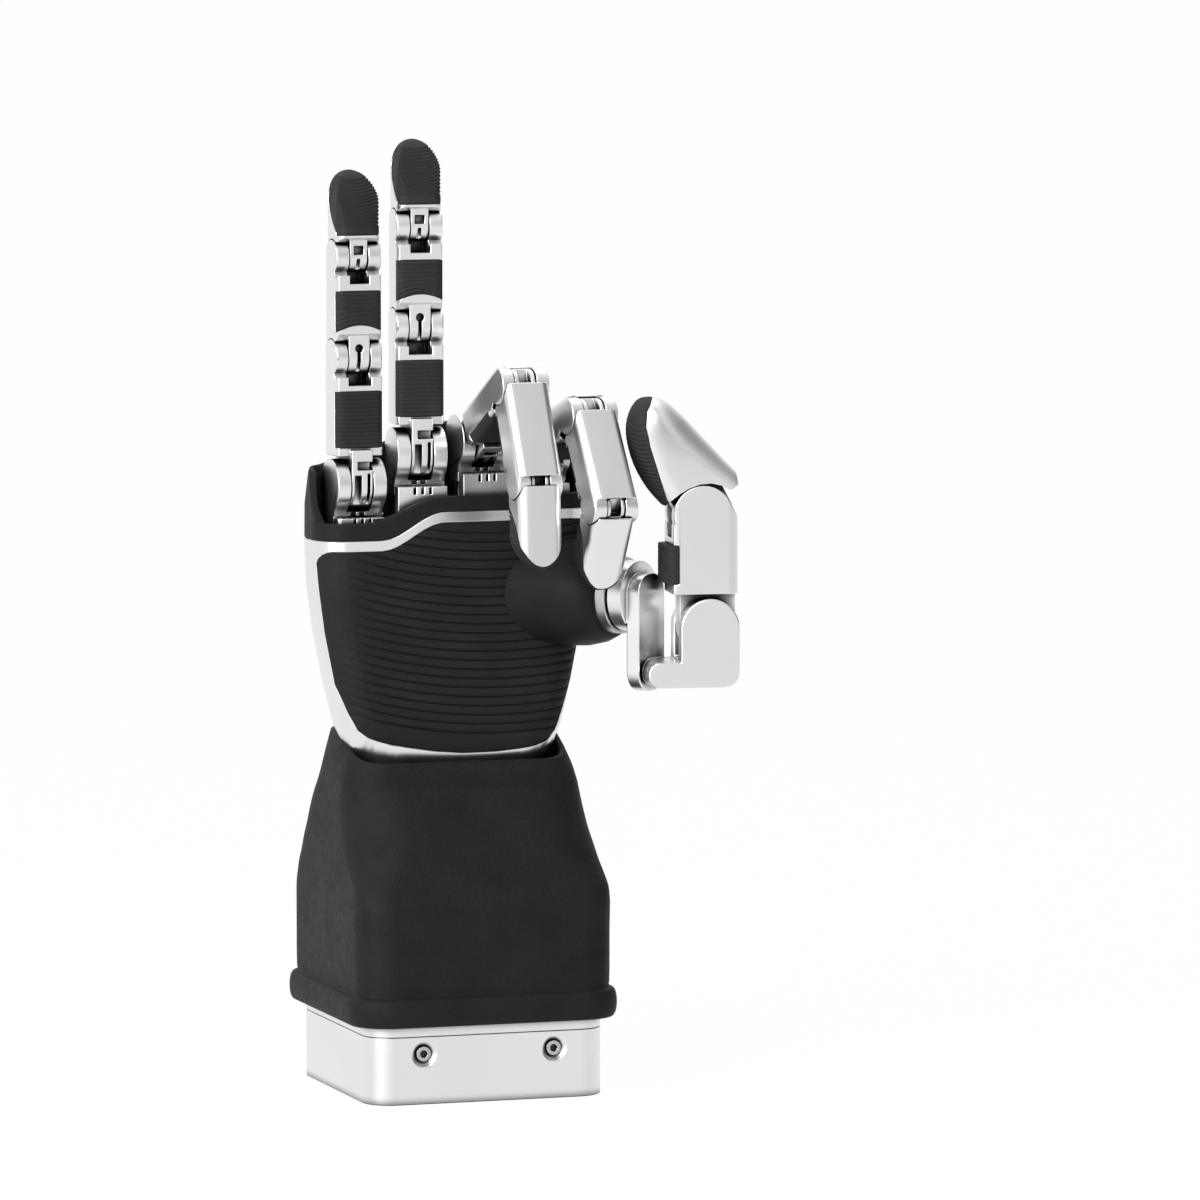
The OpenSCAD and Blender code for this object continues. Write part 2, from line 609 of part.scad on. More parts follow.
module middle_link(i) color(silver) at_mid(i) difference() {
  link(mid_w, pip_r, dip_r, len_mid, pip_r - 0.2, pip_tongue_w, dip_tongue_w,
    pip_pin_r + run_gap, pip_pin_r, mpad_lo, mpad_hi, pad_arch);
  // keyhole in the tongue's face
  translate([0, 0, 3.2]) bar_y(1.4, -pip_r - 1, -3.3);
  translate([-0.6, -pip_r - 1, -6]) cube([1.2, 3.9, 9.2]);
}

module link_pad(w, z0, z1, rise = 0) color(grey) difference() {
  intersection() {
    translate([0, 0, z0 + 0.05]) linear_extrude(z1 - z0 - 0.1)
      polygon(rr(-w / 2, w / 2, -finger_palmar - pad_proud, finger_dorsal, 2.6, 5));
    translate([-w, -20, z0 - 1]) cube([2 * w, 20 - finger_palmar + 2.4, z1 - z0 + 2]);
  }
  if (rise > 0) arch(w, z0, rise, 0.05);
}

tip_top = finger_dorsal - 2;
// fingertip: dorsal side straight, face curving back to the tip
tip_side = concat([[finger_dorsal - 0.3, 1.2], each arcp([0, 0], dip_r + 0.3, 11, 122, 10),
  [-4.6, dip_r - 0.6], [-finger_palmar - 0.3, dip_r + 0.8]],
  [for (a = [0:7.5:90]) [tip_top - (finger_palmar + pad_proud + tip_top) * pow(cos(a), 1.08),
    8.4 + (len_dist - 8.4) * sin(a)]],
  arcp([tip_top, len_dist - 1.7], 1.7, 75, 10, 3),
  [[finger_dorsal - 0.3, len_dist - 8]]);
tip_front = concat([[tip_w / 2, 0]],
  [for (a = [0:7.5:180]) [tip_w / 2 * cos(a), len_dist - 11.5 + 11.5 * sin(a)]],
  [[-tip_w / 2, 0]]);
// line where the metal back meets the pad
tip_split = [[-4, -1], [-4, 8.4], [-2.4, 9.8], [-0.2, 12], [1.8, 14.6], [3.2, 17.2],
  [4.1, 20], [4.7, 23], [5, 26], [5.1, 30], [12, 30]];
tip_back = concat([[tip_w / 2 + 0.4, -2]],
  [for (a = [0:7.5:180]) [(tip_w / 2 + 0.4 - sin(a)) * cos(a),
    len_dist - 11.5 + (11.5 - tip_rim) * sin(a)]],
  [[-tip_w / 2 - 0.4, -2]]);

tip_base = dip_r + 1.6;
module tip_blank() intersection() {
  linear_extrude(len_dist + 1)
    polygon(rr(-tip_w / 2, tip_w / 2, -finger_palmar - pad_proud, finger_dorsal - 0.3, 3.6, 6));
  along_x(tip_side, -tip_w, tip_w);
  along_y(tip_front, -20, 20);
}

module tip_metal() intersection() {
  along_x(concat(tip_split, [[12, -1]]), -20, 20);
  along_y(tip_back, -20, 20);
}

module distal(i) color(silver) at_dist(i) difference() {
  union() {
    intersection() {
      tip_blank();
      union() {
        tip_metal();
        translate([-20, -20, -1]) cube([40, 40, tip_base + 1]);
      }
    }
    tongue(dip_r - 0.5, dip_tongue_w, tip_base);
  }
  bar_x(pip_pin_r + run_gap, -12, 12);
  // window in the tongue's face and the slot below it
  translate([-1.7, -dip_r - 1, 0.8]) cube([3.4, 3.6, 3]);
  translate([-0.6, -dip_r - 1, -6]) cube([1.2, 3.6, 5.4]);
}

module tip_pad(i) color(grey) at_dist(i) difference() {
  tip_blank();
  tip_metal();
  translate([-20, -20, -1]) cube([40, 40, tip_base + 1]);
}

module two_pins(i) color(steel) {
  at_prox(i) bar_x(mcp_pin_r, -knuckle_w / 2 + pin_cover + 0.3, knuckle_w / 2);
  at_prox(i) translate([0, 0, len_prox])
    bar_x(pip_pin_r, -prox_w / 2 + pin_cover + 0.3, prox_w / 2);
}

module tip_pin(i) color(steel)
  at_mid(i) translate([0, 0, len_mid])
    bar_x(pip_pin_r, -mid_w / 2 + pin_cover + 0.3, mid_w / 2);

module finger_part(i, k) {
  if (k == 0) knuckle(i);
  if (k == 1) proximal(i);
  if (k == 2) at_prox(i) link_pad(prox_w, pad_lo, pad_hi);
  if (k == 3) two_pins(i);
  if (k == 4) middle_link(i);
  if (k == 5) at_mid(i) link_pad(mid_w, mpad_lo, mpad_hi, pad_arch);
  if (k == 6) tip_pin(i);
  if (k == 7) distal(i);
  if (k == 8) tip_pad(i);
}

// ---------- thumb ----------
module at_thumb() translate(thumb_at) rotate([0, 0, thumb_yaw]) children();
module at_thumb_tip() at_thumb() translate([0, 0, thumb_prox])
  rotate([thumb_bend, 0, 0]) children();

t_pal = 12.4;
t_dor = 10.2;
module thumb_swivel() color(silver) {
  base_axis() {
    bar_x(swivel_r, -swivel_t, 0);
    bar_x(spindle_r, -22, -swivel_t + 0.1);
    along_x(rr(-arm_w / 2, arm_w / 2, -arm_l, arm_w / 2, 7, 6), -0.1, arm_t);
  }
  at_thumb() difference() {
    union() {
      along_x(concat(arcp([0, 0], thumb_mcp_r, 0, 180, 16),
        arcp([5 - thumb_mcp_r, -15], 5, 180, 270, 5),
        arcp([thumb_mcp_r - 5, -15], 5, 270, 360, 5)),
        -thumb_w / 2 - 0.9, thumb_w / 2 + 0.9);
      along_x(rr(-21, -2, -20, -thumb_mcp_r - 1.4, 3.8, 5),
        -thumb_w / 2 - 0.9, thumb_w / 2 + 0.9);
    }
    translate([-thumb_tongue_w / 2 - tongue_play, -30, -thumb_mcp_r - 0.6])
      cube([thumb_tongue_w + 2 * tongue_play, 60, 40]);
    bar_x(thumb_pin_r + run_gap, -20, thumb_w / 2 + 0.9 - pin_cover);
  }
}

thumb_side = concat([[t_dor, 11.4], [-t_pal, 11.4], [-t_pal, thumb_prox - 3]],
  arcp([-2.2, thumb_prox], 10.2, 197, 40, 16), [[t_dor, thumb_prox - 1]]);
module thumb_proximal() color(silver) at_thumb() difference() {
  union() {
    intersection() {
      linear_extrude(thumb_prox + 12)
        polygon(rr(-thumb_w / 2, thumb_w / 2, -t_pal - 3, t_dor, 5, 6));
      along_x(thumb_side, -thumb_w, thumb_w);
    }
    tongue(thumb_mcp_r - 0.5, thumb_tongue_w, 13);
  }
  translate([-30, -40, 15]) cube([60, 40 - t_pal + 1.8, 13]);
  translate([-thumb_tongue_w / 2 - tongue_play, -30, thumb_prox])
    cube([thumb_tongue_w + 2 * tongue_play, 60, 30]);
  translate([0, 0, thumb_prox]) bar_x(14.5, -thumb_tongue_w / 2 - tongue_play,
    thumb_tongue_w / 2 + tongue_play);
  bar_x(thumb_pin_r + tight_gap, -20, 20);
  translate([0, 0, thumb_prox]) bar_x(thumb_pin_r + tight_gap, -20, thumb_w / 2 - pin_cover);
}

module thumb_proximal_pad() color(grey) at_thumb() intersection() {
  translate([0, 0, 15.05]) linear_extrude(12.9)
    polygon(rr(-thumb_w / 2, thumb_w / 2, -t_pal - 2.8, t_dor, 3.5, 6));
  translate([-30, -40, 10]) cube([60, 40 - t_pal + 1.8, 30]);
}

// thumb tip: z, face, back, half width, corner radius
thumb_rows = [[3, -10.4, 16.6, 0, 5], [9, -11.3, 15.1, 0, 6], [14.6, -12.9, 13.5, 0, 7.4],
  [20, -13.7, 12.1, 0, 8.4], [26, -13.8, 10.5, 0.1, 9.2], [31.5, -12.9, 9, 0.4, 8.9],
  [36, -11.5, 7.5, 1.1, 8.2], [39.5, -9.7, 6.1, 2.3, 7], [42.2, -7.4, 4.2, 4.1, 5.2],
  [44.1, -5, 1.8, 6.4, 2.9], [45.1, -2.8, -0.6, 8.5, 0.9]];
thumb_n = len(thumb_rows) - 1;
function thumb_row(k) = thumb_rows[min(max(k, 0), thumb_n)];
function thumb_ring(r) = [for (p = rr(r[3] - thumb_w / 2, thumb_w / 2 - r[3], r[1], r[2], r[4], 6))
  [p[0], p[1], r[0]]];
// lower edge of the thumb tip, round the ears of its joint
thumb_hem = [[-20, 9.4], [-11.2, 9.4], [-9.4, 10.6], [-6, 11.4], [-2.2, 11.6], [2, 11],
  [5.6, 9.4], [8.4, 7], [10.4, 4.2], [13.4, 4.6], [15.2, 8.4], [20, 8.4], [20, 50], [-20, 50]];
thumb_split = [[-10.6, 5], [-10.2, 11], [-8.9, 19.2], [-6.9, 30], [-4.9, 36.7], [-2, 40.8],
  [3, 44], [8, 47]];

module thumb_blank() intersection() {
  loft(concat([for (k = [0:thumb_n - 1]) for (u = [0, 0.5])
    thumb_ring(between(thumb_row(k - 1), thumb_row(k), thumb_row(k + 1), thumb_row(k + 2), u))],
    [thumb_ring(thumb_rows[thumb_n])]));
  along_x(thumb_hem, -20, 20);
}

module thumb_distal() color(silver) at_thumb_tip() difference() {
  union() {
    intersection() {
      thumb_blank();
      along_x(concat(thumb_split, [[25, 47], [25, 1]]), -20, 20);
    }
    along_x(concat([[thumb_ip_r, 12.4], [-thumb_ip_r, 12.4]],
      arcp([0, 0], thumb_ip_r, 180, 360, 18)), -thumb_tongue_w / 2, thumb_tongue_w / 2);
  }
  bar_x(thumb_pin_r + run_gap, -20, 20);
}

module thumb_tip_pad() color(grey) at_thumb_tip() difference() {
  thumb_blank();
  along_x(concat(thumb_split, [[25, 47], [25, 1]]), -20, 20);
}

module thumb_pins() color(steel) {
  at_thumb() bar_x(thumb_pin_r, -thumb_w / 2 - 0.9, thumb_w / 2 + 0.6 - pin_cover);
  at_thumb() translate([0, 0, thumb_prox])
    bar_x(thumb_pin_r, -thumb_w / 2, thumb_w / 2 - 0.3 - pin_cover);
}

// ---------- what is drawn ----------
fingers = ["pinky", "ring", "middle", "index"];
pieces = ["knuckle", "proximal", "proximal_pad", "pins", "middle", "middle_pad",
  "tip_pin", "distal", "tip_pad"];
forearm_housing();
collar_plate();
base_flange();
housing_screws();
wrist_pin();
wrist_sleeve();
palm_frame();
palm_shell();
palm_pad();
knuckle_cuff();
back_cover();
cover_screws();
spread_pins();
thumb_base();
thumb_boot();
for (i = [0:3]) for (k = [0:8])
  finger_part(i, k);
thumb_swivel();
thumb_pins();
thumb_proximal();
thumb_proximal_pad();
thumb_distal();
thumb_tip_pad();
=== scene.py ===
import json
import math

import bmesh
import bpy
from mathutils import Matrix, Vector
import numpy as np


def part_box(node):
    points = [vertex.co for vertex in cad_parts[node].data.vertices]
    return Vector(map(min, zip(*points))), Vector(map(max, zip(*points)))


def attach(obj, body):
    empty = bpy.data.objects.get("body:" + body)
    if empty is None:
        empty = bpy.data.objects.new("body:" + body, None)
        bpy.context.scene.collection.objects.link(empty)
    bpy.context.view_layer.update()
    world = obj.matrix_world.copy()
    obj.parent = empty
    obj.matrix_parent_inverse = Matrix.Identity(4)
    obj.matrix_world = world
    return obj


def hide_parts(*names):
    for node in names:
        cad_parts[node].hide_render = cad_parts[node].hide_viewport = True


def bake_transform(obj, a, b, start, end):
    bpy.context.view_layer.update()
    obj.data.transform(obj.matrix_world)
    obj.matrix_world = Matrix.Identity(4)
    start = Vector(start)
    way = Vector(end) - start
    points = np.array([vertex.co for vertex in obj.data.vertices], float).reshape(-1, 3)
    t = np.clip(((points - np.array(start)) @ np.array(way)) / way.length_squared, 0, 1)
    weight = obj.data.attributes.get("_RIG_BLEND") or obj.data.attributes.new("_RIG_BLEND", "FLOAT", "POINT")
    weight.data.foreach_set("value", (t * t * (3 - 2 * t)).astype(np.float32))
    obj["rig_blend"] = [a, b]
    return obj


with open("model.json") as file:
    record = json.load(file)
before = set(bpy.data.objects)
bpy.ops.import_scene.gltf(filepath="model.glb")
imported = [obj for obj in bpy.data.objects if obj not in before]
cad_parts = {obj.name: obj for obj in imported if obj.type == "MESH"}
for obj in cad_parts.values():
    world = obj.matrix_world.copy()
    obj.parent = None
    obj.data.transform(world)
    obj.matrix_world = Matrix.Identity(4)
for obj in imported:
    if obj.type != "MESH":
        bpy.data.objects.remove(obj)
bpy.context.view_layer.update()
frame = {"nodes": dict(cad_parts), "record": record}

# ---------------------------------------------------------------- studio
# A pale floor under the flange, white all round, one broad soft lamp from
# the left, a smaller one from behind the camera and one overhead.
view_azimuth = math.radians(-18.5)
view_elevation = math.radians(5.5)
view_distance = 3.0
view_width = 0.408
sensor_width = 36.0
aim = Vector((0.0479, -0.0160, 0.1660))

bpy.context.scene.view_settings.view_transform = "Standard"


def placed(name, data):
    """An object for the data, in the scene, at the origin and unturned."""
    obj = bpy.data.objects.new(name, data)
    bpy.context.scene.collection.objects.link(obj)
    return obj


away = Vector((math.sin(view_azimuth) * math.cos(view_elevation),
               -math.cos(view_azimuth) * math.cos(view_elevation),
               math.sin(view_elevation)))
camera_data = bpy.data.cameras.new("camera")
camera_data.sensor_width = sensor_width
camera_data.lens = sensor_width * view_distance / view_width
camera_data.clip_end = 300.0
camera = placed("camera", camera_data)
camera.location = aim + away * view_distance
camera.rotation_euler = away.to_track_quat("Z", "Y").to_euler()
bpy.context.scene.camera = camera


def feed(tree, socket, value):
    """Gives a socket another node's output, or a plain value."""
    if isinstance(value, bpy.types.NodeSocket):
        tree.links.new(value, socket)
    else:
        socket.default_value = value


def number(tree, kind, *values):
    node = tree.nodes.new("ShaderNodeMath")
    node.operation = kind
    for socket, value in zip(node.inputs, values):
        feed(tree, socket, value)
    return node.outputs[0]


def vector(tree, kind, first, second):
    node = tree.nodes.new("ShaderNodeVectorMath")
    node.operation = kind
    feed(tree, node.inputs[0], first)
    feed(tree, node.inputs["Scale"] if kind == "SCALE" else node.inputs[1], second)
    return node.outputs["Value" if kind == "DOT_PRODUCT" else "Vector"]


def gate(tree, value, start, stop, low=0.0, high=1.0, kind="SMOOTHSTEP"):
    """Takes a value from start..stop over to low..high."""
    node = tree.nodes.new("ShaderNodeMapRange")
    node.interpolation_type = kind
    for name, setting in (("Value", value), ("From Min", start), ("From Max", stop),
                          ("To Min", low), ("To Max", high)):
        feed(tree, node.inputs[name], setting)
    return node.outputs["Result"]


def mixed(tree, share, first, second):
    node = tree.nodes.new("ShaderNodeMixShader")
    for socket, value in zip(node.inputs, (share, first, second)):
        tree.links.new(value, socket)
    return node.outputs[0]


def plain_rays(tree):
    """1 where a camera, glossy or transmission ray looks, 0 for light."""
    rays = tree.nodes.new("ShaderNodeLightPath").outputs
    return number(tree, "MAXIMUM",
                  number(tree, "MAXIMUM", rays["Is Camera Ray"], rays["Is Glossy Ray"]),
                  rays["Is Transmission Ray"])


world = bpy.data.worlds.new("studio")
bpy.context.scene.world = world
world.use_nodes = True
sky = world.node_tree
sky.nodes.clear()
toward = sky.nodes.new("ShaderNodeTexCoord").outputs["Generated"]


def white_light(strength):
    node = sky.nodes.new("ShaderNodeBackground")
    node.inputs["Color"].default_value = (1.0, 1.0, 1.0, 1.0)
    feed(sky, node.inputs["Strength"], strength)
    return node.outputs[0]


def between_lamps(strength, facing, across, width):
    """A narrow upright gap in the room's white, as between two soft boxes."""
    off_middle = number(sky, "ABSOLUTE", vector(sky, "DOT_PRODUCT", toward, across))
    gap = gate(sky, off_middle, 0.0, width, 1.0, 0.0)
    side = gate(sky, vector(sky, "DOT_PRODUCT", toward, facing), 0.3, 0.5, 0.0, 0.9, "LINEAR")
    left = number(sky, "SUBTRACT", 1.0, number(sky, "MULTIPLY", gap, side))
    return number(sky, "MULTIPLY", strength, left)


# the room is white behind and to the left, and unlit to the front and right
to_the_right = vector(sky, "DOT_PRODUCT", toward, (0.97, -0.23, -0.06))
room = gate(sky, to_the_right, 0.30, 0.95, 1.0, 0.12)
room_light = white_light(number(sky, "MULTIPLY", room, 0.40))
room_shine = between_lamps(room, (-0.99, 0.13, 0.0), (0.13, 0.99, 0.0), 0.30)
room_shine = between_lamps(room_shine, (0.0, -1.0, 0.0), (1.0, 0.0, 0.0), 0.22)
on_object = mixed(sky, plain_rays(sky), room_light, white_light(room_shine))
to_camera = sky.nodes.new("ShaderNodeLightPath").outputs["Is Camera Ray"]
world_out = sky.nodes.new("ShaderNodeOutputWorld")
sky.links.new(mixed(sky, to_camera, on_object, white_light(1.0)), world_out.inputs["Surface"])

for name, place, size, power in (("lamp_left", (-1.2, -0.85, 0.75), (0.7, 1.1), 22.0),
                                 ("lamp_front", (-0.45, -1.25, 1.4), (0.6, 0.6), 5.0),
                                 ("lamp_top", (0.1, 0.35, 1.5), (0.8, 0.8), 6.0)):
    light = bpy.data.lights.new(name, "AREA")
    light.shape = "RECTANGLE"
    light.size, light.size_y = size
    light.energy = power
    lamp = placed(name, light)
    lamp.location = place
    lamp.rotation_euler = (Vector(place) - aim).to_track_quat("Z", "Y").to_euler()

floor_half = 90
floor_mesh = bpy.data.meshes.new("floor")
floor_mesh.from_pydata([(x * floor_half, y * floor_half, 0)
                        for x, y in ((-1, -1), (1, -1), (1, 1), (-1, 1))], [], [(0, 1, 2, 3)])
floor = placed("floor", floor_mesh)
floor_mat = bpy.data.materials.new("floor_white")
floor_mat.use_nodes = True
floor_tree = floor_mat.node_tree
floor_tree.nodes.clear()
matte = floor_tree.nodes.new("ShaderNodeBsdfDiffuse")
matte.inputs["Color"].default_value = (0.92, 0.92, 0.92, 1.0)
glow = floor_tree.nodes.new("ShaderNodeEmission")
glow.inputs["Strength"].default_value = 1.0
glow_share = number(floor_tree, "MULTIPLY", plain_rays(floor_tree), 0.985)
floor_out = floor_tree.nodes.new("ShaderNodeOutputMaterial")
floor_tree.links.new(mixed(floor_tree, glow_share, matte.outputs[0], glow.outputs[0]),
                     floor_out.inputs["Surface"])
floor_mesh.materials.append(floor_mat)

# ---------------------------------------------------------------- housing
# The forearm housing, its collar and the arm's flange are machined from
# aluminium, fine blasted and left silver, with the sharp edges broken. Two
# socket screws hold the housing from the front.
body_of = {node: body for body, group in frame["record"]["behaviour"]["bodies"].items()
           for node in group}


def speckle(tree, place, scale, detail):
    noise = tree.nodes.new("ShaderNodeTexNoise")
    noise.inputs["Scale"].default_value = scale
    noise.inputs["Detail"].default_value = detail
    noise.inputs["Roughness"].default_value = 0.5
    tree.links.new(place, noise.inputs["Vector"])
    return noise.outputs["Fac"]


def uneven(tree, place, scale, detail, low, high):
    """A value that wanders from low to high over the surface."""
    return gate(tree, speckle(tree, place, scale, detail), 0.3, 0.7, low, high, "LINEAR")


def two_tones(tree, share, first, second):
    mix = tree.nodes.new("ShaderNodeMix")
    mix.data_type = "RGBA"
    for name, value in (("Factor", share), ("A", first), ("B", second)):
        feed(tree, mix.inputs[name], (*value, 1.0) if isinstance(value, tuple) else value)
    return mix.outputs["Result"]


def relief(tree, shader, height, depth, strength=1.0, under=None):
    bump = tree.nodes.new("ShaderNodeBump")
    bump.inputs["Strength"].default_value = strength
    bump.inputs["Distance"].default_value = depth
    tree.links.new(height, bump.inputs["Height"])
    if under:
        tree.links.new(under, bump.inputs["Normal"])
    tree.links.new(bump.outputs["Normal"], shader.inputs["Normal"])
    return bump.outputs["Normal"]


def new_finish(name):
    """A new material with its shader and its object coordinates."""
    mat = bpy.data.materials.new(name)
    mat.use_nodes = True
    tree = mat.node_tree
    place = tree.nodes.new("ShaderNodeTexCoord").outputs["Object"]
    return mat, tree, tree.nodes["Principled BSDF"], place


def metal(name, dark, light, rough_low, rough_high, grain, depth, shade_reach=0.0):
    """A satin metal; with a shade reach, painted shade darkens its colour to near black in slots, pockets
    and gaps between parts within that reach.
    """
    mat, tree, shader, place = new_finish(name)
    shader.inputs["Metallic"].default_value = 1.0
    colour = two_tones(tree, uneven(tree, place, 30.0, 3.0, 0.0, 1.0), dark, light)
    if shade_reach:
        # painted shade: ambient occlusion within the reach, from this piece and its neighbours, turns the
        # base colour near black in slots, pockets, screw holes and gaps between parts
        open_sky = tree.nodes.new("ShaderNodeAmbientOcclusion")
        open_sky.samples = 8
        open_sky.inputs["Distance"].default_value = shade_reach
        unshaded = gate(tree, open_sky.outputs["AO"], 0.42, 0.76, kind="LINEAR")
        colour = two_tones(tree, unshaded, (0.012, 0.012, 0.013), colour)
    tree.links.new(colour, shader.inputs["Base Color"])
    tree.links.new(uneven(tree, place, 60.0, 4.0, rough_low, rough_high),
                   shader.inputs["Roughness"])
    relief(tree, shader, speckle(tree, place, grain, 1.0), depth)
    return mat


blasted = ((0.79, 0.79, 0.80), (0.83, 0.83, 0.84), 0.30, 0.34, 2200.0, 0.000004)
# painted shade reaches 5.5 mm into the blasted silver's slots and gaps and 2.2 mm into the ground steel's;
# the shell's silver and the machined aluminium have none
silver = metal("silver_blasted", *blasted, 0.0055)
shell_silver = metal("silver_shell", *blasted)
machined = metal("aluminium_machined", (0.50, 0.50, 0.51), (0.56, 0.56, 0.57), 0.32, 0.38,
                 2200.0, 0.000005)
ground = metal("steel_ground", (0.44, 0.44, 0.45), (0.50, 0.50, 0.51), 0.20, 0.26,
               2400.0, 0.000003, 0.0022)


def plain_copy(node, name):
    """The CAD node's shape as one welded mesh, ready to be finished."""
    work = bmesh.new()
    work.from_mesh(frame["nodes"][node].data)
    bmesh.ops.remove_doubles(work, verts=work.verts, dist=0.000002)
    bmesh.ops.dissolve_limit(work, angle_limit=math.radians(0.6),
                             verts=work.verts, edges=work.edges)
    for layer in list(work.loops.layers.uv):
        work.loops.layers.uv.remove(layer)
    mesh = bpy.data.meshes.new(name)
    work.to_mesh(mesh)
    work.free()
    for old in [a.name for a in mesh.attributes if a.name in ("custom_normal", "sharp_edge")]:
        mesh.attributes.remove(mesh.attributes[old])
    return placed(name, mesh)


def shade(mesh, smooth):
    mesh.shade_smooth()
    mesh.set_sharp_from_angle(angle=math.radians(smooth))


def settle_mesh(obj):
    """Turns the object's modifiers into plain mesh."""
    depsgraph = bpy.context.evaluated_depsgraph_get()
    depsgraph.update()
    result = bpy.data.meshes.new_from_object(obj.evaluated_get(depsgraph))
    obj.modifiers.clear()
    obj.data = result


def hand_over(obj, mat, node):
    """The finished piece takes its material, rides and stands for its node."""
    obj.data.materials.clear()
    obj.data.materials.append(mat)
    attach(obj, body_of[node])
    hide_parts(node)


def edged(node, mat, edge=0.00022, smooth=32.0, angle=34.0, form=None, cut=None):
    """A hard part with its sharp edges broken by a small radius."""
    obj = plain_copy(node, node + "_part")
    if cut:
        slot = obj.modifiers.new("slot", "BOOLEAN")
        slot.solver = "EXACT"
        slot.object = cut
        settle_mesh(obj)
        bpy.data.objects.remove(cut)
    if form:
        form(obj.data)
    shade(obj.data, smooth)
    if edge:
        bevel = obj.modifiers.new("edge", "BEVEL")
        bevel.width = edge
        bevel.segments = 2
        bevel.limit_method = "ANGLE"
        bevel.angle_limit = math.radians(angle)
        bevel.use_clamp_overlap = False
        bevel.miter_outer = "MITER_ARC"
    level = obj.modifiers.new("level", "WEIGHTED_NORMAL")
    level.keep_sharp = True
    level.weight = 80
    settle_mesh(obj)
    hand_over(obj, mat, node)


edged("forearm_housing", silver, 0.00025)
edged("collar_plate", silver, 0.0003)
edged("base_flange", machined, 0.0004)
edged("housing_screws", ground, 0.0001)

# ---------------------------------------------------------------- wrist
# Inside the sleeve the palm's lug turns on a ground steel pin, held in the
# two ears of the collar. The lug is one casting with the knuckles' frame.
edged("wrist_pin", ground, 0.0004)
edged("palm_frame", silver, 0.0002)

# ---------------------------------------------------------------- sleeve
# The wrist's soft boot is moulded rubber with a fine leather grain. A rolled
# bead grips the collar and its open rim bends along with the palm.
mm = 0.001
sleeve_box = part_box("wrist_sleeve")
bead_low, bead_high, bead_out = 26.5, 36.5, 2.5
box_half = (sleeve_box[1][0] - sleeve_box[0][0]) / 2 / mm - bead_out
box_corner = 12
wall = 2.2
corner_steps, bead_steps, lip_steps = 14, 16, 8
# each row, in mm: its height, how far the sides, front and back draw in from
# the box, and the radii of the front and back corners
sleeve_rows = [(44, 0, 0, 0, 12, 12), (56, 0, 0, 0, 12, 12), (63, 0, 0, 0, 11.5, 12),
               (67, 0, 0.5, 0.1, 11, 12), (71, 0.1, 2.2, 0.3, 10.5, 12.5),
               (75, 0.3, 4.9, 0.5, 12.5, 13), (79, 0.5, 7.1, 1.0, 16, 15),
               (84, 0.8, 9.2, 1.6, 19.5, 17), (89, 1.2, 11.8, 2.7, 22, 19.5),
               (94, 1.7, 15.1, 4.6, 21.5, 20), (99, 2.3, 18.6, 7.2, 19.5, 20),
               (105, 3.2, 22.4, 11.4, 16, 18.5), (112, 4.6, 25.8, 16.0, 12.8, 15.5),
               (118, 6.6, 27.4, 19.0, 12, 12)]
# the rim tilts between these heights, lower in front and higher behind
tilt_from, tilt_to = 104, 118
tilt_front, tilt_rise = -6, 9


def ease(t):
    t = min(max(t, 0.0), 1.0)
    return t * t * (3.0 - 2.0 * t)


def sleeve_section(k, u):
    """The section a share u of the way from row k to the next, on a smooth curve."""
    a, b, c, d = (sleeve_rows[min(max(k + n, 0), len(sleeve_rows) - 1)] for n in (-1, 0, 1, 2))
    row = [0.5 * (2 * q + (r - p) * u + (2 * p - 5 * q + 4 * r - s) * u * u
                  + (3 * q - p - 3 * r + s) * u ** 3) for p, q, r, s in zip(a, b, c, d)]
    return [row[0], *(box_half - drawn for drawn in row[1:4]), *row[4:]]


def bead_section(z, share):
    reach, corner = box_half + bead_out * share, box_corner + bead_out * share
    return [z, reach, reach, reach, corner, corner]


def sleeve_ring(section, inset=0.0):
    """The section's rounded square as points, with the rim's tilt at the top."""
    z, half, front, back, front_corner, back_corner = (v - inset for v in section)
    z += inset
    ring = []
    for cx, cy, start in ((half, back, 0), (-half, back, 90), (-half, -front, 180),
                          (half, -front, 270)):
        sx, sy = (1 if cx > 0 else -1), (1 if cy > 0 else -1)
        corner = back_corner if cy > 0 else front_corner
        for n in range(corner_steps + 1):
            turn = math.radians(start + 90 * n / corner_steps)
            ring.append([cx - sx * corner + corner * math.cos(turn),
                         cy - sy * corner + corner * math.sin(turn), z])
    filled = []
    for n, p in enumerate(ring):
        q = ring[(n + 1) % len(ring)]
        parts = corner_steps if n % (corner_steps + 1) == corner_steps else 1
        filled += [[p[i] + (q[i] - p[i]) * s / parts for i in range(3)] for s in range(parts)]
    for p in filled:
        if p[2] > tilt_from:
            up = (p[2] - tilt_from) / (tilt_to - tilt_from)
            p[2] += up * (tilt_front + tilt_rise * ease((p[1] + 18) / 30))
    return filled


def slack_point(x, y, z):
    """The slack rubber is a little wavy above its shoulder."""
    slack = ease((z - 64) / 12) * ease((112 - z) / 14)
    shift = slack * (0.22 * math.sin(x / 11 + z / 9) + 0.16 * math.sin(y / 8 - z / 13))
    reach = math.hypot(x, y)
    return ((x + x / reach * shift) * mm, (y + y / reach * shift) * mm, z * mm)


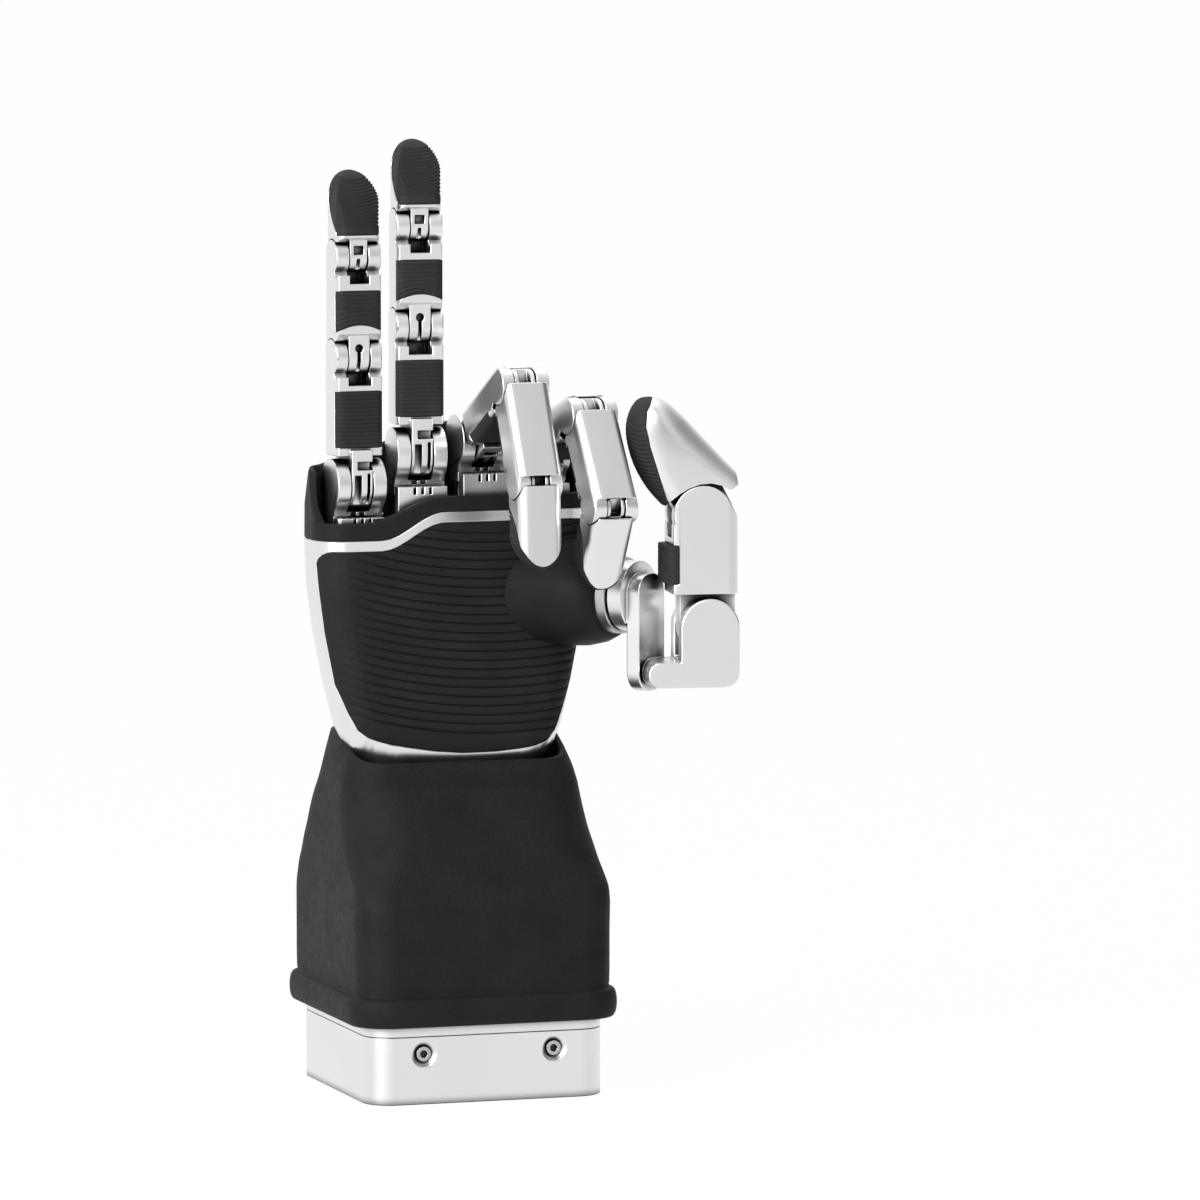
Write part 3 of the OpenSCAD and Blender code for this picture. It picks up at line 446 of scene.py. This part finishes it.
outer = []
for n in range(bead_steps + 1):
    turn = math.pi * n / bead_steps
    outer.append(bead_section((bead_low + bead_high) / 2 - 5.0 * math.cos(turn) * 0.999,
                              math.sin(turn) ** 0.62))
outer.append(bead_section(bead_high + 0.7, -0.12))
outer.append(bead_section(bead_high + 1.9, -0.04))
for k in range(len(sleeve_rows) - 1):
    outer += [sleeve_section(k, u) for u in (0.0, 0.2, 0.4, 0.6, 0.8)]
outer.append(sleeve_section(len(sleeve_rows) - 2, 1.0))
rim = outer[-1]
rings = [sleeve_ring(section) for section in outer]
for n in range(1, lip_steps):
    turn = math.pi * n / lip_steps
    lifted = [rim[0] + 0.9 * math.sin(turn), *rim[1:]]
    rings.append(sleeve_ring(lifted, wall / 2 * (1 - math.cos(turn))))
rings += [sleeve_ring(section, wall) for section in reversed(outer)
          if section[0] > bead_high + 1]
rings.append(sleeve_ring(bead_section(bead_low, 0), wall))

sleeve_bm = bmesh.new()
grid = [[sleeve_bm.verts.new(slack_point(*point)) for point in ring] for ring in rings]
for r, row in enumerate(grid):
    above = grid[(r + 1) % len(grid)]
    for n in range(len(row)):
        after = (n + 1) % len(row)
        sleeve_bm.faces.new((row[n], row[after], above[after], above[n]))
bmesh.ops.recalc_face_normals(sleeve_bm, faces=sleeve_bm.faces)
sleeve_mesh = bpy.data.meshes.new("sleeve")
sleeve_bm.to_mesh(sleeve_mesh)
sleeve_bm.free()
sleeve_mesh.shade_smooth()
sleeve = placed("sleeve", sleeve_mesh)


def grained_rubber(name, dark, light, rough, cell, depth, fine):
    """A dull rubber or plastic with a fine grain of cells."""
    mat, tree, shader, place = new_finish(name)
    shader.inputs["Specular IOR Level"].default_value = 0.12
    tree.links.new(two_tones(tree, uneven(tree, place, 70.0, 4.0, 0.0, 1.0), dark, light),
                   shader.inputs["Base Color"])
    tree.links.new(uneven(tree, place, 300.0, 3.0, rough - 0.05, rough + 0.06),
                   shader.inputs["Roughness"])
    cells = tree.nodes.new("ShaderNodeTexVoronoi")
    cells.feature = "SMOOTH_F1"
    cells.inputs["Scale"].default_value = cell
    cells.inputs["Smoothness"].default_value = 0.6
    tree.links.new(place, cells.inputs["Vector"])
    under = relief(tree, shader, speckle(tree, place, fine, 3.0), depth * 0.6, 0.7)
    relief(tree, shader, cells.outputs["Distance"], depth, 0.8, under)
    return mat


sleeve_rubber = grained_rubber("sleeve_grain", (0.0105, 0.0107, 0.0113), (0.0145, 0.0147, 0.0155),
                               0.58, 1150.0, 0.00022, 2600.0)
sleeve_mesh.materials.append(sleeve_rubber)
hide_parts("wrist_sleeve")
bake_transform(sleeve, "forearm", "palm", start=(0, 0, 0.060), end=(0, 0, 0.116))

# ---------------------------------------------------------------- palm shell
# One silver shell makes the palm's back, sides, bottom lip and the narrow
# band across its face. The back has a plain moulded cover on four screws.
shell_low, shell_end, heel_top, heel_fade = 113.0, 108.5, 160.0, 12.0
heel_cut, heel_cuts = 2.0, 23
# across the palm, in mm: the height of the pad's lower edge in the solid, and
# how far that edge is moved
heel_edge = [(-43.4, 139.0), (-39.6, 130.0), (-36.6, 124.0), (-33.2, 120.0), (-29.4, 117.8),
             (-25.6, 117.0), (22.6, 117.0), (26.4, 117.8), (30.2, 120.0), (33.6, 124.0),
             (36.6, 130.0), (40.4, 139.0)]
heel_drop = [(-43.4, 0.0), (-39.6, -0.4), (-36.6, -0.3), (-33.2, 1.2), (-29.4, 2.0),
             (-25.6, 1.8), (-19.5, 0.6), (-10.0, -1.0), (0.0, -1.9), (12.0, -1.8),
             (22.6, -0.8), (26.4, -0.9), (30.2, -1.8), (33.6, -2.0), (36.6, -0.8),
             (40.4, 0.0)]


def along_table(table, x):
    if x <= table[0][0]:
        return table[0][1]
    for (x0, a), (x1, b) in zip(table, table[1:]):
        if x <= x1:
            return a + (b - a) * (x - x0) / (x1 - x0)
    return table[-1][1]


def round_heel(mesh, cuts=True):
    """Draws the palm's lower lip down into the sleeve and rounds the pad's edge."""
    work = bmesh.new()
    work.from_mesh(mesh)
    if cuts:
        for n in range(-heel_cuts, heel_cuts):
            whole = work.verts[:] + work.edges[:] + work.faces[:]
            bmesh.ops.bisect_plane(work, geom=whole, dist=0.000001, plane_no=(1, 0, 0),
                                   plane_co=((n * heel_cut - 0.5) * mm, 0.0, 0.0))
    for vert in work.verts:
        x, z = vert.co.x / mm, vert.co.z / mm
        if z > heel_top or z < shell_low - 0.5:
            continue
        edge, drop = along_table(heel_edge, x), along_table(heel_drop, x)
        if z < edge:
            share = (z - shell_low) / (edge - shell_low)
            z = shell_end + share * (edge + drop - shell_end)
        else:
            z += drop * (1.0 - ease((z - edge) / heel_fade))
        vert.co.z = z * mm
    work.to_mesh(mesh)
    work.free()


moulded = grained_rubber("cover_moulded", (0.030, 0.030, 0.032), (0.037, 0.037, 0.040),
                         0.50, 2200.0, 0.00006, 3200.0)
edged("palm_shell", shell_silver, 0.0003, 40.0, 40.0, round_heel)
edged("back_cover", moulded, 0.0004)
edged("cover_screws", ground, 0.0001)
edged("spread_pins", ground, 0.0001)

# ---------------------------------------------------------------- palm pad
# The palm's face is a soft black pad let into the shell, with shallow moulded
# grooves right across, which fade before its left side.
palm_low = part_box("palm_pad")[0]
palm_middle = 0.012
palm_pitch, palm_sag = 0.0031, -3.0
palm_first, palm_last = 0.0016, 0.0735
straight = (0.0, 0.0, 1.0)

groove_inputs = {"Origin": "Vector", "Along": "Vector", "Across": "Vector", "Facing": "Vector",
                 "Pitch": "Float", "Depth": "Float", "Width": "Float", "First": "Float",
                 "Last": "Float", "Curve": "Float", "Curve From": "Float", "Curve To": "Float",
                 "Fade From": "Float", "Fade To": "Float", "Turned From": "Float",
                 "Turned To": "Float", "Finish": "Material"}


def groove_tree():
    """Presses evenly spaced grooves into the side of a piece that faces out."""
    tree = bpy.data.node_groups.new("pressed_grooves", "GeometryNodeTree")
    face = tree.interface
    face.new_socket("Piece", in_out="INPUT", socket_type="NodeSocketGeometry")
    for name, kind in groove_inputs.items():
        face.new_socket(name, in_out="INPUT", socket_type="NodeSocket" + kind)
    face.new_socket("Piece", in_out="OUTPUT", socket_type="NodeSocketGeometry")
    given = tree.nodes.new("NodeGroupInput").outputs
    result = tree.nodes.new("NodeGroupOutput").inputs

    place = tree.nodes.new("GeometryNodeInputPosition").outputs[0]
    normal = tree.nodes.new("GeometryNodeInputNormal").outputs[0]
    offset = vector(tree, "SUBTRACT", place, given["Origin"])
    along = vector(tree, "DOT_PRODUCT", offset, given["Along"])
    across = vector(tree, "DOT_PRODUCT", offset, given["Across"])
    arc = number(tree, "MULTIPLY", given["Curve"], number(tree, "MULTIPLY", across, across))
    bent = number(tree, "ADD", along, number(
        tree, "MULTIPLY", arc, gate(tree, along, given["Curve From"], given["Curve To"])))
    turn = number(tree, "FRACT", number(tree, "DIVIDE", bent, given["Pitch"]))
    off_line = number(tree, "ABSOLUTE", number(tree, "SUBTRACT", turn, 0.5))
    quarter = number(tree, "MULTIPLY", given["Pitch"], 0.25)
    shares = (gate(tree, off_line, 0.0, given["Width"], 1.0, 0.0),
              gate(tree, vector(tree, "DOT_PRODUCT", normal, given["Facing"]),
                   given["Turned From"], given["Turned To"]),
              gate(tree, bent, given["First"], number(tree, "ADD", given["First"], quarter)),
              gate(tree, bent, number(tree, "SUBTRACT", given["Last"], quarter), given["Last"],
                   1.0, 0.0),
              gate(tree, across, given["Fade From"], given["Fade To"]))
    inward = number(tree, "MULTIPLY", given["Depth"], -1.0)
    for share in shares:
        inward = number(tree, "MULTIPLY", inward, share)
    shift = tree.nodes.new("GeometryNodeSetPosition")
    tree.links.new(given["Piece"], shift.inputs["Geometry"])
    tree.links.new(vector(tree, "SCALE", normal, inward), shift.inputs["Offset"])
    real = tree.nodes.new("GeometryNodeRealizeInstances")
    tree.links.new(shift.outputs[0], real.inputs[0])
    paint = tree.nodes.new("GeometryNodeSetMaterial")
    tree.links.new(real.outputs[0], paint.inputs["Geometry"])
    tree.links.new(given["Finish"], paint.inputs["Material"])
    tree.links.new(paint.outputs[0], result[0])
    return tree


grooves = groove_tree()


def grooved(node, voxel, mat, axes, lines, curve=straight, fade=(-1.0, -0.99), soften=4,
            form=None, turned=0.15, name=None):
    """A soft pad: the node's shape in a fine even mesh, with its grooves.

    axes: the origin, along the pad, across it and out of it.
    lines: pitch, depth, half width in pitches, first and last place."""
    obj = plain_copy(node, name or node + "_ribbed")
    skin = obj.modifiers.new("skin", "REMESH")
    skin.mode = "VOXEL"
    skin.voxel_size = voxel
    ease_edges = obj.modifiers.new("ease_edges", "SMOOTH")
    ease_edges.iterations = soften
    settle_mesh(obj)
    shade(obj.data, 60.0)
    if form:
        form(obj.data)
    press = obj.modifiers.new("grooves", "NODES")
    press.node_group = grooves
    values = dict(zip(groove_inputs,
                      (*axes, *lines, *curve, *fade, turned, turned + 0.4, mat)))
    for item in grooves.interface.items_tree:
        if item.in_out == "INPUT" and item.name in values:
            press[item.identifier] = values[item.name]
    settle_mesh(obj)
    shade(obj.data, 180.0)
    hand_over(obj, mat, node)


def shade_grooves(mat):
    """The bottoms of the palm's grooves get no light, so they are darker."""
    tree = mat.node_tree
    base = tree.nodes["Principled BSDF"].inputs["Base Color"]
    point = tree.nodes.new("ShaderNodeSeparateXYZ")
    tree.links.new(tree.nodes["Texture Coordinate"].outputs["Object"], point.inputs[0])
    across = number(tree, "SUBTRACT", point.outputs["X"], palm_middle)
    arc = number(tree, "MULTIPLY", number(tree, "MULTIPLY", across, across), palm_sag)
    bent = number(tree, "ADD", number(tree, "SUBTRACT", point.outputs["Z"], palm_low[2]), arc)
    turn = number(tree, "FRACT", number(tree, "DIVIDE", bent, palm_pitch))
    off_line = number(tree, "ABSOLUTE", number(tree, "SUBTRACT", turn, 0.5))
    amount = gate(tree, off_line, 0.03, 0.16, 1.0, 0.0)
    for share in (gate(tree, bent, palm_first, palm_first + 0.0008),
                  gate(tree, bent, palm_last - 0.0008, palm_last, 1.0, 0.0),
                  gate(tree, across, -0.057, -0.037),
                  gate(tree, point.outputs["Y"], -0.004, 0.0, 1.0, 0.0)):
        amount = number(tree, "MULTIPLY", amount, share)
    darker = two_tones(tree, amount, base.links[0].from_socket, (0.0022, 0.0022, 0.0024))
    tree.links.new(darker, base)


palm_face = grained_rubber("palm_face", (0.0125, 0.0125, 0.0135), (0.0170, 0.0170, 0.0185),
                           0.60, 2600.0, 0.00008, 3400.0)
shade_grooves(palm_face)
palm_axes = (Vector((palm_middle, 0.0, palm_low[2])), Vector((0.0, 0.0, 1.0)),
             Vector((1.0, 0.0, 0.0)), Vector((0.0, -1.0, 0.0)))
grooved("palm_pad", 0.00045, palm_face, palm_axes,
        (palm_pitch, 0.00055, 0.26, palm_first, palm_last), (palm_sag, -1.0, -0.9),
        (-0.059, -0.040), form=lambda mesh: round_heel(mesh, False), name="palm_pad_grooved")

# ---------------------------------------------------------------- cuff
# A black rubber cuff is stretched over the knuckle end of the palm, with its
# edge rising toward the back of the hand.
black_rubber = grained_rubber("rubber_black", (0.0105, 0.0105, 0.0110), (0.0140, 0.0140, 0.0147),
                              0.52, 1900.0, 0.0001, 2800.0)
edged("knuckle_cuff", black_rubber, 0.0006, 45.0, 45.0)

# ---------------------------------------------------------------- fingers
# Each finger is a chain of silver links on steel pins, with a ribbed charcoal
# pad let into the palm side of every link.
joint_at = {joint["name"]: Vector(joint["pos_m"])
            for joint in frame["record"]["behaviour"]["joints"]}
finger_joints = ("mcp", "pip", "dip")
# how far each joint is bent, and each finger turned, in the stored pose
finger_bend = {"pinky": (0, 0, 0), "ring": (0, 0, 0), "middle": (61, 96, 20),
               "index": (70, 80, 55)}
finger_yaw = {"pinky": 3, "ring": -2, "middle": 4, "index": 7}
soft_pad = grained_rubber("pad_charcoal", (0.0240, 0.0240, 0.0255), (0.0310, 0.0310, 0.0330),
                          0.60, 2600.0, 0.00008, 3400.0)
rib_depth, rib_width = 0.00045, 0.46
link_ribs, tip_ribs = 0.00135, 0.0011
# the slot's place behind and below the joint's axis, and its depth and height
slot_back, slot_down, slot_depth, slot_height = 0.0075, -0.0041, 0.010, 0.0104


def direction(yaw, bend, local):
    """A direction in a link's own frame, brought into the hand's frame."""
    x, y, z = local
    b, w = math.radians(bend), math.radians(yaw)
    y, z = y * math.cos(b) - z * math.sin(b), y * math.sin(b) + z * math.cos(b)
    return Vector((x * math.cos(w) - y * math.sin(w), x * math.sin(w) + y * math.cos(w), z))


def bend_at(finger, joint):
    return sum(finger_bend[finger][:finger_joints.index(joint) + 1])


def slot_cutter(finger, joint, width):
    """The box of the slot between the two fins of a joint's tongue, at its back."""
    work = bmesh.new()
    bmesh.ops.create_cube(work, size=1.0)
    for vert in work.verts:
        x, y, z = vert.co
        turned = direction(finger_yaw[finger], bend_at(finger, joint),
                           (x * width, slot_back + y * slot_depth, slot_down + z * slot_height))
        vert.co = joint_at[f"{finger}_{joint}"] + turned
    mesh = bpy.data.meshes.new("slot_box")
    work.to_mesh(mesh)
    work.free()
    return placed("slot_box", mesh)


for finger in finger_yaw:
    for part in ("knuckle", "proximal"):
        edged(f"{finger}_{part}", silver)
    for part, joint, width in (("middle", "pip", 0.0044), ("distal", "dip", 0.0038)):
        edged(f"{finger}_{part}", silver, cut=slot_cutter(finger, joint, width))
    for part in ("pins", "tip_pin"):
        edged(f"{finger}_{part}", ground, 0.00015)
    for joint, pad, pitch, first, last, curve, facing, soften, turned in (
            ("mcp", "proximal_pad", link_ribs, 0.0137, 0.0312, straight, (0, -1, 0), 4, 0.15),
            ("pip", "middle_pad", link_ribs, 0.0094, 0.0218, (36.0, 0.020, 0.010), (0, -1, 0), 4,
             0.15),
            ("dip", "tip_pad", tip_ribs, 0.0096, 0.0262, (-34.0, 0.006, 0.022), (0, -0.8, 0.6),
             24, -0.15)):
        axes = [direction(finger_yaw[finger], bend_at(finger, joint), axis)
                for axis in ((0, 0, 1), (1, 0, 0), facing)]
        grooved(f"{finger}_{pad}", 0.00024, soft_pad, (joint_at[f"{finger}_{joint}"], *axes),
                (pitch, rib_depth, rib_width, first, last), curve, soften=soften, turned=turned)

# ---------------------------------------------------------------- thumb
# The thumb stands on a swivel disc that turns in the palm's side, with a soft
# cover round its base. Its two links are silver with ribbed pads.
edged("thumb_base", machined, 0.0003)
edged("thumb_boot", black_rubber, 0.0, 50.0)
edged("thumb_swivel", silver, 0.0004)
edged("thumb_proximal", silver, 0.0003)
edged("thumb_distal", silver, 0.0, 40.0, 40.0)
edged("thumb_pins", ground, 0.0002)
thumb_yaw = -99
thumb_lean = math.radians(32)
thumb_ribs, thumb_rib_depth, thumb_first = 0.00125, 0.00040, -0.05
for joint, pad, bend, last in (("mcp", "thumb_proximal_pad", 0, 0.05),
                               ("ip", "thumb_tip_pad", 28, 0.06)):
    axes = [direction(thumb_yaw, bend, axis)
            for axis in ((math.sin(thumb_lean), 0, math.cos(thumb_lean)), (1, 0, 0), (0, -1, 0))]
    grooved(pad, 0.00026, soft_pad, (joint_at[f"thumb_{joint}"], *axes),
            (thumb_ribs, thumb_rib_depth, rib_width, thumb_first, last))
